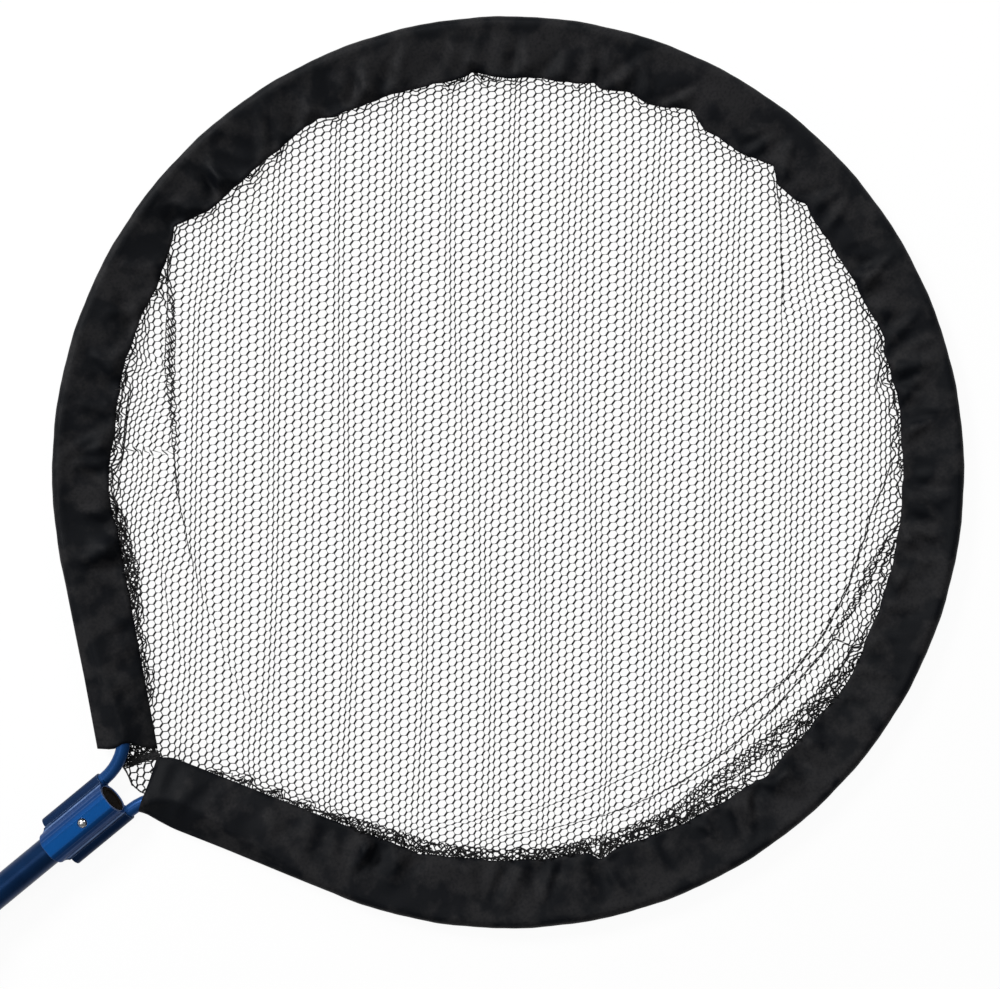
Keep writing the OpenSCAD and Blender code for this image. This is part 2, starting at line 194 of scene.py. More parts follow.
# Finishes: edge is the width of the wear in metres
finishes = {
    "rodEnamel": {
        "deep": (0.005, 0.036, 0.125, 1), "bright": (0.010, 0.06, 0.205, 1),
        "rough": 0.38, "metal": 0.3, "coat": 0.02, "shine": 0.1, "bump": 0.12, "ripple": 420.0},
    "bracketEnamel": {
        # bright is a painted highlight on the crown, lobe a painted shade on the side lobes, and worn the
        # colour of worn edges and of the painted highlight lines along the ribs
        "deep": (0.004, 0.036, 0.14, 1), "bright": (0.002, 0.068, 0.26, 1), "worn": (0.14, 0.22, 0.4, 1),
        "lobe": (0.003, 0.016, 0.055, 1),
        "crownHighlightRamp": (2.0, 10.0),            # painted highlight on the crown, fading between these millimetres from the pole line
        # painted shade: side lobes darker beyond these millimetres from the pole line
        "lobeShadeRamp": (15.4, 16.2),
        "lines": ((15.1, 0.9, 0.9), (11.5, 0.5, 0.25), (8.9, 0.5, 0.2)),     # painted highlight lines along the ribs: place, half width, strength
        "patch": (160.0, 3.0),
        "rough": 0.42, "metal": 0.35, "coat": 0.02, "shine": 0.08, "bump": 0.15, "ripple": 380.0,
        "edge": 0.0006},
    "poleEnamel": {
        "deep": (0.0025, 0.013, 0.045, 1), "bright": (0.006, 0.03, 0.095, 1), "worn": (0.08, 0.12, 0.2, 1),
        "rough": 0.34, "metal": 0.45, "coat": 0.02, "shine": 0.06, "bump": 0.04, "ripple": 300.0,
        "edge": 0.0005},
    "plugMoulding": {
        "deep": (0.005, 0.0034, 0.0022, 1), "pale": (0.011, 0.0075, 0.005, 1), "worn": (0.03, 0.024, 0.02, 1),
        "rough": 0.75, "bump": 0.25, "grain": 2200.0, "edge": 0.0004, "shine": 0.05},
    "lockMoulding": {
        "deep": (0.012, 0.012, 0.013, 1), "pale": (0.022, 0.022, 0.023, 1), "worn": (0.09, 0.09, 0.09, 1),
        "rough": 0.38, "bump": 0.3, "grain": 1600.0, "edge": 0.0006, "shine": 0.25},
    "guideMoulding": {
        "deep": (0.08, 0.08, 0.08, 1), "pale": (0.13, 0.13, 0.125, 1), "worn": (0.25, 0.25, 0.25, 1),
        "rough": 0.4, "bump": 0.2, "grain": 1800.0, "edge": 0.0005, "shine": 0.25},
    "gripRubber": {
        "deep": (0.008, 0.008, 0.008, 1), "pale": (0.018, 0.018, 0.018, 1), "worn": (0.05, 0.05, 0.05, 1),
        "rough": 0.62, "bump": 0.5, "grain": 1200.0, "edge": 0.0008, "shine": 0.25},
    "buttonSteel": {"deep": (0.55, 0.55, 0.54, 1), "bright": (0.78, 0.78, 0.77, 1), "rough": 0.14},
    "springSteel": {"deep": (0.3, 0.3, 0.3, 1), "bright": (0.5, 0.5, 0.49, 1), "rough": 0.25},
}
enamelSet = {"bumpDepth": 0.0004, "speckRough": 0.12, "coatRough": 0.12}
mouldedSet = {"bumpDepth": 0.0003, "scuffRough": 0.2, "wornShare": 0.35}
steelSet = {"turning": (900.0, 900.0, 60.0), "lines": (1.0, 3.0), "lineRough": 0.12}


# Painted light across the bracket: a painted highlight on the crown, painted highlight lines along the ribs,
# painted shade on the side lobes
def bracketPaintedLight(tree, look):
    place = objectPlace(tree)
    sides = addNode(tree, "ShaderNodeSeparateXYZ", None, Vector=place)
    across = mathNode(tree, "ABSOLUTE", sides.outputs["Y"])

    def ramp(start, end):
        node = addNode(tree, "ShaderNodeMapRange", {"interpolation_type": "SMOOTHSTEP"}, Value=across,
                       From_Min=start * mm, From_Max=end * mm)
        return node.outputs[0]

    # crown lighter and side lobes darker: painted highlight and painted shade
    tone = mixColour(tree, ramp(*look["crownHighlightRamp"]), look["bright"], look["deep"])
    tone = mixColour(tree, ramp(*look["lobeShadeRamp"]), tone, look["lobe"])
    patch = noiseAt(tree, place, *look["patch"])
    # pale rib lines in the worn colour, broken up by noise: painted highlights
    for middle, half, share in look["lines"]:
        off = mathNode(tree, "ABSOLUTE", mathNode(tree, "SUBTRACT", across, middle * mm))
        mask = mathNode(tree, "SUBTRACT", 1.0, mathNode(tree, "DIVIDE", off, half * mm))
        mask = mathNode(tree, "MAXIMUM", mask, 0.0)
        mask = mathNode(tree, "MULTIPLY", mask, mathNode(tree, "MULTIPLY", patch, 2 * share))
        tone = mixColour(tree, mathNode(tree, "MINIMUM", mask, 1.0), tone, look["worn"])
    return tone


def enamelMaterial(name):
    look = finishes[name]
    material, tree, shader = newMaterial(name)
    coat = useGroup(tree, lacquer, Ripple=look["ripple"])
    if "lines" in look:
        tone = bracketPaintedLight(tree, look)
    else:
        tone = mixColour(tree, coat.outputs["Cloud"], look["deep"], look["bright"])
    bump = addNode(tree, "ShaderNodeBump", None, Height=coat.outputs["Height"], Strength=look["bump"],
                   Distance=enamelSet["bumpDepth"])
    if "edge" in look:
        edge = useGroup(tree, wornEdge, Width=look["edge"])
        tone = mixColour(tree, edge.outputs["Mask"], tone, look["worn"])
        setSockets(tree, bump, Normal=edge.outputs["Normal"])
    rough = mathNode(tree, "MULTIPLY_ADD", coat.outputs["Specks"], enamelSet["speckRough"], look["rough"])
    setSockets(tree, shader, Base_Color=tone, Roughness=rough, Normal=bump.outputs[0], Metallic=look["metal"],
               Coat_Weight=look["coat"], Coat_Roughness=enamelSet["coatRough"],
               Specular_IOR_Level=look["shine"])
    return material


def mouldedMaterial(name):
    look = finishes[name]
    material, tree, shader = newMaterial(name)
    skin = useGroup(tree, moulding, Grain=look["grain"])
    edge = useGroup(tree, wornEdge, Width=look["edge"])
    tone = mixColour(tree, skin.outputs["Scuff"], look["deep"], look["pale"])
    wear = mathNode(tree, "MULTIPLY", edge.outputs["Mask"], mouldedSet["wornShare"])
    tone = mixColour(tree, wear, tone, look["worn"])
    rough = mathNode(tree, "MULTIPLY_ADD", skin.outputs["Scuff"], mouldedSet["scuffRough"], look["rough"])
    bump = addNode(tree, "ShaderNodeBump", None, Height=skin.outputs["Height"], Strength=look["bump"],
                   Distance=mouldedSet["bumpDepth"], Normal=edge.outputs["Normal"])
    setSockets(tree, shader, Base_Color=tone, Roughness=rough, Normal=bump.outputs[0],
               Specular_IOR_Level=look["shine"])
    return material


def steelMaterial(name):
    look = finishes[name]
    material, tree, shader = newMaterial(name)
    turned = addNode(tree, "ShaderNodeMapping", None, Vector=objectPlace(tree), Scale=steelSet["turning"])
    lines = noiseAt(tree, turned.outputs[0], *steelSet["lines"])
    rough = mathNode(tree, "MULTIPLY_ADD", lines, steelSet["lineRough"], look["rough"])
    setSockets(tree, shader, Base_Color=mixColour(tree, lines, look["deep"], look["bright"]), Roughness=rough,
               Metallic=1.0)
    return material


wears = {
    "hoop_rod": enamelMaterial("rodEnamel"),
    "head_bracket": enamelMaterial("bracketEnamel"),
    "inner_pole": enamelMaterial("poleEnamel"),
    "pole_plug": mouldedMaterial("plugMoulding"),
    "lock_collar": mouldedMaterial("lockMoulding"),
    "guide_bush": mouldedMaterial("guideMoulding"),
    "handle_grip": mouldedMaterial("gripRubber"),
    "snap_button": steelMaterial("buttonSteel"),
    "button_spring": steelMaterial("springSteel"),
}
wears["outer_pole"] = wears["inner_pole"]
wears["lock_collet"] = wears["lock_collar"]
wears["end_cap"] = wears["lock_collar"]
for nodeName, material in wears.items():
    mesh = nodes[nodeName].data
    mesh.materials.clear()
    mesh.materials.append(material)

# Leaf spring: a copy of its node with its doubled points merged; on the real net its upper leaf goes down
# with the button
springSet = {"merge": 0.001 * mm, "leaf": mm}
freshStart()
leafSpring = bpy.data.objects.new("button_leaf_spring", nodes["button_spring"].data.copy())
bpy.context.scene.collection.objects.link(leafSpring)
bpy.context.view_layer.objects.active = leafSpring
leafSpring.select_set(True)
bpy.ops.object.mode_set(mode="EDIT")
bpy.ops.mesh.select_all(action="SELECT")
bpy.ops.mesh.remove_doubles(threshold=springSet["merge"])
bpy.ops.object.mode_set(mode="OBJECT")
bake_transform(leafSpring)
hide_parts("button_spring")
print("frame pieces finished")


# Mesh from arrays of points and quads
def quadMesh(name, points, quads):
    mesh = bpy.data.meshes.new(name)
    mesh.vertices.add(len(points))
    mesh.vertices.foreach_set("co", np.ascontiguousarray(points, np.float32).ravel())
    mesh.loops.add(4 * len(quads))
    mesh.loops.foreach_set("vertex_index", np.ascontiguousarray(quads, np.int32).ravel())
    mesh.polygons.add(len(quads))
    mesh.polygons.foreach_set("loop_start", np.arange(0, 4 * len(quads), 4, dtype=np.int32))
    mesh.polygons.foreach_set("use_smooth", np.ones(len(quads), bool))
    mesh.update(calc_edges=True)
    mesh.validate()
    piece = bpy.data.objects.new(name, mesh)
    bpy.context.scene.collection.objects.link(piece)
    return piece


# Smooth made-up noise along a line, the same each run
def waver(places, size, period, seed):
    rng = np.random.RandomState(seed)
    total = np.zeros_like(places, dtype=float)
    for octave in range(3):
        length = period / 2 ** octave * rng.uniform(0.85, 1.15)
        shift = rng.uniform(0, 6.28)
        total += np.sin(2 * np.pi * places / length + shift) / (octave + 1)
    return size * (total / 1.6)


def rampUp(value, start, length):
    return np.clip((value - start) / length, 0, 1)


def lengthAlong(x, y, crowd=1):
    # length run along a line at each of its points
    steps = np.hypot(np.diff(x), np.diff(y))
    return np.concatenate(([0], np.cumsum(steps * crowd)))


# Inner edge of the sleeve and its cut ends, in millimetres and degrees from the far side of the hoop
hemSet = {
    "radius": ((-180, 328), (-151, 328), (-118, 328), (-104, 331), (-88, 334), (105, 334), (115, 336.5),
               (127, 336.5), (134, 334), (142.5, 338.5), (149, 334), (180, 333.5)),
    # places drawn out to the rod, as (angle, depth, before, after)
    "notches": ((104, 16, 7, 9), (78.5, 6, 2.5, 11), (55.5, 6, 4, 4), (38, 3, 1.5, 2.5), (33, 3.5, 3, 4),
                (23.5, 10, 3.5, 6), (9.5, 9, 2.5, 6), (2.5, 5, 5, 2), (-20, 4.5, 2, 7), (-28, 2.5, 6, 2),
                (-71, 4, 7, 8), (-89, 3, 6, 5), (-116, 8, 2, 5), (-143, 4, 2, 5)),
    "notchPower": 1.5,
    "wobble": (0.8, 7.0, 3),             # size, period, seed
    "bend": 151.0,                       # where the sleeve begins to run straight
    "farLength": 165.0,
    "nearLength": 183.0,
    "width": 48.0,
    "farSkew": 9.0,
    "nearSkew": 3.0,
    "skewFrom": (110.0, 55.0),           # start and length of the slanting cut
    "underShow": 1.6,                    # lower layer longer than the upper one at the ends
    "showFrom": (130.0, 35.0),
    "drawBack": (6.0, 27.0, 9.0),        # cloth drawn back from the rod at the far end: depth, place, width
    "foldTaper": (4.5, 148.0, 35.0, 22.0),           # corners of the near end, drawn in
    "hemTaper": (5.0, 168.0, 15.0, 28.0, 20.0),
    "taperPower": 1.5,
}


def hemRadius(angle):
    # distance of the hem from the middle, with angle from -180 to 180
    known = np.array(hemSet["radius"], float)
    radius = np.interp(angle, known[:, 0], known[:, 1])
    for middle, depth, before, after in hemSet["notches"]:
        off = angle - middle
        reach = np.where(off < 0, -off / before, off / after)
        radius = radius + depth * np.clip(1 - reach, 0, 1) ** hemSet["notchPower"]
    return radius + waver(angle, *hemSet["wobble"])


# Net: yarn chains of a knotless hexagon net, laid slack and folded as it lies on the floor
netSet = {
    "turn": 20.2,                    # way of the chains against the pole line
    "pitch": 6.7,
    "strand": 4.0,
    "reach": 500.0,
    "thickR": 0.49,                  # yarn of the thick edges, then the legs, folds, hem, lobe and own edge
    "thinR": 0.12,
    "foldR": 0.4,
    "hemR": 0.56,
    "lobeR": 0.62,
    "edgeR": 0.5,
    "pairGap": 0.3,
    "leastRun": 4,                   # points in the shortest yarn kept
    "panels": 3,
    "yarnShare": 0.4,                # share of the net's area that isn't holes
    "lift": 0.5,
    "seam": -172.0,                  # angle at which the paths start and end
    "columnStep": 0.25,
    "pathStep": 0.5,
    "pathLength": 540,
    "underHem": 8.0,
    "crowd": (0.3, 13, 9),           # how much closer the cells lie at the hem, how far in, and the fade
    "wideCrowd": (0.15, 42, 25),     # the same over a wider band
    "crowdUnder": 2,
    "calm": (179.5, 5.5, 2.0),       # the net lies unfolded about this angle
    "lobe": (175.2, 184.2, 0.8),     # between the sleeve's ends, where the net's own edge shows
    "lobeFrom": (374, 6),
    "lobeOver": 4,
    "nearEdge": 30,
    "thickBand": (26, 20, 1.5),      # band inside the hem with thicker yarn: width, fade, power
    "shake": (0.08, 0.15, 0.5),      # everywhere, near the edge, in the lobe
    "edgeRise": 0.5,
}

# Small folds along the hem, with wander and vary as (size, period, seed)
hemPleats = (
    {"inset": 3.5, "wander": (1.2, 4.5, 21), "wide": 3.4, "vary": (3.0, 5.0, 22), "most": 7},
    {"inset": 9.0, "wander": (1.5, 6.0, 23), "wide": 0.6, "vary": (1.8, 4.1, 24), "most": 3.5},
)

# How much of the small folds there is, by angle
fringe = ((-172, 1), (-95, 1), (-92, 0.2), (-86, 0.2), (-82, 1), (-68, 1), (-62, 0.5), (-48, 0.5),
          (-44, 0.1), (-38, 0.8), (-26, 0.8), (-14, 0.3), (0, 0.2), (48, 0.2), (52, 0.8), (57, 0.8),
          (62, 0.2), (84, 0.2), (90, 0.7), (95, 0.2), (118, 0.3), (124, 0.8), (150, 1), (188, 1))

# Folds lying over, as (angle, radius, overlap)
tucks = {
    "leftFold": ((107, 340, 0), (110, 333, 3), (114, 318, 8), (119, 306, 10), (124, 298, 10), (128, 291, 8),
                 (132, 286, 6), (138, 281, 4), (146, 278, 2.5), (153, 276, 1.7), (158, 276, 0)),
    "leftHemFold": ((127, 326, 0), (130, 325.5, 2), (134, 325, 3), (138, 325, 3), (141, 331, 0)),
    "leftBunch": ((143, 334, 0), (147, 329, 6), (151, 327, 9), (155, 326.5, 10), (159, 330, 6),
                  (163, 338, 0)),
    "topRightFold": ((8, 336, 0), (6, 325, 2.5), (3, 312, 3), (0, 298, 2.5), (-4, 285, 2), (-9, 268, 1),
                     (-13, 260, 0)),
    "rightInner": ((-36, 328, 0), (-40, 320, 1.5), (-46, 308, 2), (-52, 304, 3), (-60, 301, 3.5),
                   (-68, 298, 3), (-76, 292, 2.5), (-84, 284, 1.5), (-93, 277, 0)),
    "rightOuter": ((-47, 331, 0), (-51, 322, 6), (-56, 316, 9), (-61, 312, 7), (-66, 308, 4), (-72, 303, 3),
                   (-80, 300, 2.5), (-90, 298, 2.5), (-100, 299, 2), (-112, 300, 1.5), (-122, 302, 1),
                   (-130, 306, 0.8), (-136, 316, 0)),
    "rightShort": ((-22, 333, 0), (-25, 322, 1.5), (-29, 316, 0)),
    "bunch": ((-64, 326, 0), (-70, 325, 4.5), (-76, 322, 7), (-82, 318, 10), (-87, 316, 14), (-92, 315, 15),
              (-97, 315, 13), (-102, 318, 10), (-108, 319, 7), (-114, 320, 9), (-118, 320, 7),
              (-124, 321, 4.5), (-132, 320, 5), (-140, 320, 5), (-147, 319, 6), (-152, 320, 5.5),
              (-158, 326, 2), (-163, 336, 0)),
}
tuckSet = {
    "uneven": (0.1, 14),             # size and period
    "wander": (0.5, 9),
    "most": 20,
    "least": 0.05,                   # narrower ones are left out
    "edgeGap": 1,
    "standing": 4,                   # narrower ones stand up as pleats
    "pleatTall": 2.2,
    "pleatFoot": 0.35,
    "pleatTop": 0.15,
    "loft": (0.6, 0.06),
    "runOut": (6, 0.2),
    "endZ": 1.0,
    "fine": 0.25,
}

# Soft ridges, as (angle, radius)
ridges = {
    "leftUpper": ((88, 332), (92, 318), (96, 305), (101, 292), (107, 283), (113, 279)),
    "leftMiddle": ((120, 306), (126, 303), (135, 299), (145, 298), (155, 302), (165, 309), (175, 320)),
    "leftLower": ((150, 276), (160, 275), (170, 279), (180, 289), (188, 296)),
    "rightLower": ((-88, 277), (-96, 273), (-104, 273), (-112, 275), (-122, 281), (-130, 287), (-138, 298),
                   (-146, 312)),
}
ridgeSet = {"half": 3.5, "height": 3.6, "fade": 8.0}

# The net's own edge between the sleeve's ends, as (angle, radius)
lobeEdge = ((173.5, 374), (175, 391), (176.3, 401), (177.6, 409), (178.6, 410), (179.8, 412.8), (180.7, 413),
            (181.8, 411), (182.6, 403), (183.5, 393), (184.6, 383), (186, 374))


def lineAt(points, angle):
    # values of a line at each angle, and the angles at which it starts and ends
    known = np.array(sorted(points), float)
    values = [np.interp(angle, known[:, 0], known[:, k]) for k in range(1, known.shape[1])]
    return values, known[0, 0], known[-1, 0]


def hemLine(angle):
    # the hem, also along the sleeve's straight ends, with angle from the seam once round
    folded = np.where(angle > 180, angle - 360, angle)
    bend = hemSet["bend"]
    straight = np.clip(np.abs(folded) - bend, 0, 180 - bend)
    return hemRadius(np.clip(folded, -bend, bend)) / np.cos(np.radians(straight))


def netEdge(angle):
    # where the net ends, under the hem or along its own edge
    edge = hemLine(angle) + netSet["underHem"]
    (lobe,), start, end = lineAt(lobeEdge, angle)
    return np.where((angle > start) & (angle < end), np.maximum(edge, lobe), edge)


def lobeShare(angle):
    # 1 in the lobe between the sleeve's ends
    start, end, fade = netSet["lobe"]
    return np.clip(np.minimum(angle - start, end - angle) / fade, 0, 1)


def pleatShare(angles):
    # how much of the hem's small folds there is, none where the net lies unfolded
    middle, still, fade = netSet["calm"]
    share = lineAt(fringe, angles)[0][0]
    return share * rampUp(np.abs((angles - middle + 180) % 360 - 180), still, fade)


def netFolds(angles, hems, calm):
    # radius and width of every fold at each angle
    folds = []
    for pleat in hemPleats:
        radius = hems - pleat["inset"] + waver(angles, *pleat["wander"])
        width = np.clip(pleat["wide"] + waver(angles, *pleat["vary"]), 0, pleat["most"])
        folds.append((radius, width * calm))
    for points in tucks.values():
        (radius, width), start, end = lineAt(points, angles)
        firstAngle, firstRadius = points[0][:2]           # each fold takes its seeds from its first point
        uneven = 1 + waver(angles, *tuckSet["uneven"], int(abs(firstAngle)) + 40)
        width = np.clip(width * uneven, 0, tuckSet["most"])
        folds.append((radius + waver(angles, *tuckSet["wander"], int(firstRadius)),
                      np.where((angles >= start) & (angles <= end), width, 0)))
    return folds


def netRidges(angles):
    # radius and height of every ridge at each angle
    raised = []
    for points in ridges.values():
        (radius,), start, end = lineAt(points, angles)
        fade = np.clip(np.minimum(angles - start, end - angles) / ridgeSet["fade"], 0, 1)
        raised.append((radius, ridgeSet["height"] * np.sqrt(fade)))
    return raised


def foldedLine(stops, edge):
    # radius and height along one path, over its pleats and folds
    foot, top = tuckSet["pleatFoot"], tuckSet["pleatTop"]
    line = [(0.0, 0.0)]
    for radius, width in sorted(stops):
        if width < tuckSet["standing"]:
            tall = tuckSet["pleatTall"] * width
            line += [(radius - foot, 0.0), (radius - top, tall), (radius + top, tall), (radius + foot, 0.0)]
        else:
            loft = tuckSet["loft"][0] + tuckSet["loft"][1] * width
            near, far = radius - width / 2, radius + width / 2
            runOut, runZ = tuckSet["runOut"]
            line += [(far, 0.0), (far, loft), (near, loft), (near, 2 * loft), (far + runOut, runZ)]
    return np.array([p for p in line if p[0] < edge] + [(edge, tuckSet["endZ"])])


def netPaths():
    # one radial path of the net for each angle: radius and height against the length of net used
    step = netSet["columnStep"]
    angles = np.arange(netSet["seam"], netSet["seam"] + 360 + step, step)
    edges, hems = netEdge(angles), hemLine(angles)
    calm = pleatShare(angles)
    folds, raised = netFolds(angles, hems, calm), netRidges(angles)
    lengths = np.arange(0, netSet["pathLength"], netSet["pathStep"])
    radii, heights, folded = [np.zeros((len(angles), len(lengths))) for k in range(3)]
    ends = np.zeros(len(angles))
    crowd, crowdIn, crowdFade = netSet["crowd"]
    wideCrowd, wideIn, wideFade = netSet["wideCrowd"]
    for column, edge in enumerate(edges):
        stops = [(radius[column], width[column]) for radius, width in folds
                 if width[column] > tuckSet["least"] and radius[column] < edge - tuckSet["edgeGap"]]
        line = foldedLine(stops, edge)
        used = lengthAlong(line[:, 0], line[:, 1])
        fine = np.arange(0, used[-1], tuckSet["fine"])
        radius = np.interp(fine, used, line[:, 0])
        height = np.interp(fine, used, line[:, 1])
        for middle, rise in raised:
            apart = (radius - middle[column]) / ridgeSet["half"]
            height = height + rise[column] * np.clip(1 - apart ** 2, 0, 1) ** 2
        inside = hems[column] - radius[1:]
        closer = crowd * np.clip((crowdIn - inside) / crowdFade, 0, 1)
        closer = closer + wideCrowd * np.clip((wideIn - inside) / wideFade, 0, 1)
        used = lengthAlong(radius, height, 1 + calm[column] * (inside > -netSet["crowdUnder"]) * closer)
        layered = [np.abs(radius - spot) < width / 2 for spot, width in stops if width >= tuckSet["standing"]]
        ends[column] = used[-1]
        radii[column] = np.interp(lengths, used, radius)
        heights[column] = np.interp(lengths, used, height)
        folded[column] = np.interp(lengths, used, np.any(layered + [radius < 0], 0))
    soft = np.array([0.25, 0.5, 0.25])
    for table in (radii, heights):
        for row in table:
            row[1:-1] = np.convolve(row, soft, "same")[1:-1]
    return ends, radii, heights, folded


# Lines along which the slack net is pulled to the side
pullSet = {
    "across": (0.768, 0.640),        # way across the lines
    "main": (1.5, 57),               # size and period
    "bend": (0.8, 95),
    "drift": (1.9, 83, 210),
    "start": 0.9,
    "sharp": 0.6,
    "sharpRange": (0.6, 350, 0.15, 1.1),         # sharper on one side: middle, slope, least, most
    "fine": (0.5, 31, 140),
    "fadeIn": (60, 0.3),
}


def pulled(x, y):
    c, s = pullSet["across"]
    across, along = x * c - y * s, x * s + y * c
    size, period = pullSet["main"]
    bend, bendLength = pullSet["bend"]
    drift, driftAcross, driftAlong = pullSet["drift"]
    middle, slope, least, most = pullSet["sharpRange"]
    fine, finePeriod, fineAlong = pullSet["fine"]
    fadeLength, fadeLeast = pullSet["fadeIn"]
    phase = across * 2 * np.pi / period + bend * np.sin(along / bendLength)
    phase = phase + drift * np.sin(across / driftAcross + along / driftAlong) + pullSet["start"]
    sharp = pullSet["sharp"] * np.clip(middle - across / slope, least, most)
    pull = size * np.sin(phase) - sharp * np.sin(2 * phase)
    pull = pull + fine * np.sin(across * 2 * np.pi / finePeriod + along / fineAlong)
    fadeIn = np.clip(np.hypot(x, y) / fadeLength, fadeLeast, 1)
    return x + c * pull * fadeIn, y - s * pull * fadeIn


def layNet(u, v, shakes):
    # net cut flat at (u, v) to where it lies
    turn = math.radians(netSet["turn"])
    x, y = pulled(u * math.cos(turn) - v * math.sin(turn), u * math.sin(turn) + v * math.cos(turn))
    used = np.hypot(x, y)
    angle = np.degrees(np.arctan2(y, x))
    angle = np.where(angle < netSet["seam"], angle + 360, angle)
    ends, radii, heights, folded = netTable
    column = np.clip((angle - netSet["seam"]) / netSet["columnStep"], 0, len(ends) - 1.001)
    row = np.clip(used / netSet["pathStep"], 0, radii.shape[1] - 1.001)
    c0, r0 = column.astype(int), row.astype(int)
    fc, fr = column - c0, row - r0

    def sample(table):
        low = table[c0, r0] * (1 - fr) + table[c0, r0 + 1] * fr
        high = table[c0 + 1, r0] * (1 - fr) + table[c0 + 1, r0 + 1] * fr
        return low * (1 - fc) + high * fc

    radius, height = sample(radii), sample(heights)
    end = ends[c0] * (1 - fc) + ends[c0 + 1] * fc
    share = lobeShare(angle)
    lobe = share * rampUp(radius, *netSet["lobeFrom"])
    near = np.clip(1 - (end - used) / netSet["nearEdge"], 0, 1) * (1 - lobe)
    band, bandFade, bandPower = netSet["thickBand"]
    thicker = np.clip((band - hemLine(angle) + radius) / bandFade, 0, 1) ** bandPower
    shakeAll, shakeNear, shakeLobe = netSet["shake"]
    shake = shakeAll + shakeNear * near + shakeLobe * lobe
    radius = radius + shake * shakes[0]
    slide = shake * shakes[1]
    a = np.radians(angle)
    px = radius * np.cos(a) - slide * np.sin(a)
    py = radius * np.sin(a) + slide * np.cos(a)
    pz = netSet["lift"] + height + np.abs(shakes[2]) * netSet["edgeRise"] * near
    inside = used < end + netSet["lobeOver"] * share
    return np.stack([px, py, pz], -1), inside, sample(folded), thicker, lobe


def yarnRings(place, way, size):
    # four corners round each point of a yarn
    way = way / np.maximum(np.linalg.norm(way, axis=1, keepdims=True), 1e-6)
    side = np.cross(way, np.array([0.03, 0.02, 1.0]))         # nearly upright, so that no yarn runs along it
    side /= np.maximum(np.linalg.norm(side, axis=1, keepdims=True), 1e-6)
    up = np.cross(side, way)
    corners = ((1, 0), (0, 1), (-1, 0), (0, -1))
    return np.stack([place + size * (side * c + up * s) for c, s in corners], 1)


def yarnQuads(a, b, first, last):
    # walls from each ring a to its next ring b, and caps on the first and last rings
    walls = [np.stack([a + j, b + j, b + (j + 1) % 4, a + (j + 1) % 4], 1) for j in range(4)]
    caps = [np.stack([first + j for j in (0, 1, 2, 3)], 1), np.stack([last + j for j in (3, 2, 1, 0)], 1)]
    return np.concatenate(walls + caps)


def netChains():
    # every chain of the flat net, along and across it, and which points are on thick edges
    pitch, strand, gap, reach = [netSet[key] for key in ("pitch", "strand", "pairGap", "reach")]
    chains = np.arange(-int(reach / (pitch / 2)), int(reach / (pitch / 2)))
    periods = np.arange(-int(reach / (3 * strand)) - 1, int(reach / (3 * strand)) + 1)
    # one repeat of a chain: thick edge, leg, thick edge in the next column, leg
    alongs = np.array([-0.5, 0.5, 0.75, 1.0, 2.0, 2.25]) * strand
    acrosses = np.array([gap, gap, pitch / 4, pitch / 2 - gap, pitch / 2 - gap, pitch / 4])
    thick = np.array([1, 1, 0, 1, 1, 0], bool)
    start = (chains % 2) * 1.5 * strand
    u = start[:, None, None] + (periods * 3 * strand)[None, :, None] + alongs
    v = (chains * pitch / 2)[:, None, None] + np.zeros_like(u) + acrosses
    return u.reshape(len(chains), -1), v.reshape(len(chains), -1), np.tile(thick, len(periods))


def pairShakes(u, v):
    # made-up shakes that both yarns of a thick edge share: taken from their common place
    placeU = np.round(u / (netSet["strand"] / 2))
    placeV = np.round(v / (netSet["pitch"] / 2) - 0.001)
    mixed = [np.sin(placeU * (12.9898 + k) + placeV * (78.233 - 3 * k)) * 43758.5453 for k in range(3)]
    return [2 * (n - np.floor(n)) - 1 for n in mixed]


def makeNet():
    u, v, thick = netChains()
    points, inside, layered, thicker, lobe = layNet(u, v, pairShakes(u, v))
    sizes = np.where(thick, netSet["thickR"], netSet["thinR"])
    sizes = sizes + (netSet["hemR"] - sizes) * thicker
    sizes = np.maximum(sizes, netSet["foldR"] * layered)
    sizes = sizes + (netSet["lobeR"] - sizes) * lobe
    # runs of each chain that lie on the net
    chainOf = np.repeat(np.arange(len(u)), u.shape[1])
    at = np.nonzero(inside.reshape(-1))[0]
    newRun = np.ones(len(at), bool)
    newRun[1:] = (np.diff(at) > 1) | (np.diff(chainOf[at]) > 0)
    run = np.cumsum(newRun) - 1
    good = np.bincount(run)[run] >= netSet["leastRun"]
    at, run = at[good], run[good]
    place, size, chain = points.reshape(-1, 3)[at], sizes.reshape(-1)[at], chainOf[at]
    same = run[1:] == run[:-1]
    numbers = np.arange(len(at))
    before, after = numbers.copy(), numbers.copy()
    before[1:][same] -= 1
    after[:-1][same] += 1
    rings = yarnRings(place, place[after] - place[before], size[:, None])
    # split into panels of like size
    share = numbers * netSet["panels"] // len(at)
    cuts = [chain[np.nonzero(share == k)[0][0]] for k in range(netSet["panels"])] + [chain[-1] + 1]
    panels = []
    for k in range(netSet["panels"]):
        mine = (chain >= cuts[k]) & (chain < cuts[k + 1])
        ringOf = (np.cumsum(mine) - 1) * 4
        link = np.nonzero(mine[:-1] & mine[1:] & same)[0]
        quads = yarnQuads(ringOf[link], ringOf[link + 1], ringOf[mine & (before == numbers)],
                          ringOf[mine & (after == numbers)])
        piece = quadMesh("net_panel_%d" % (k + 1), rings[mine].reshape(-1, 3) * mm, quads)
        panels.append((piece, u.reshape(-1)[at][mine]))
    return panels


def yarnLines(name, lines, radius):
    # plain yarns along lines of points
    rings, quads, start = [], [], 0
    for points in lines:
        rings.append(yarnRings(points, np.gradient(points, axis=0), radius))
        ring = start + np.arange(len(points)) * 4
        quads.append(yarnQuads(ring[:-1], ring[1:], ring[:1], ring[-1:]))
        start = ring[-1] + 4
    return quadMesh(name, np.concatenate(rings).reshape(-1, 3) * mm, np.concatenate(quads))


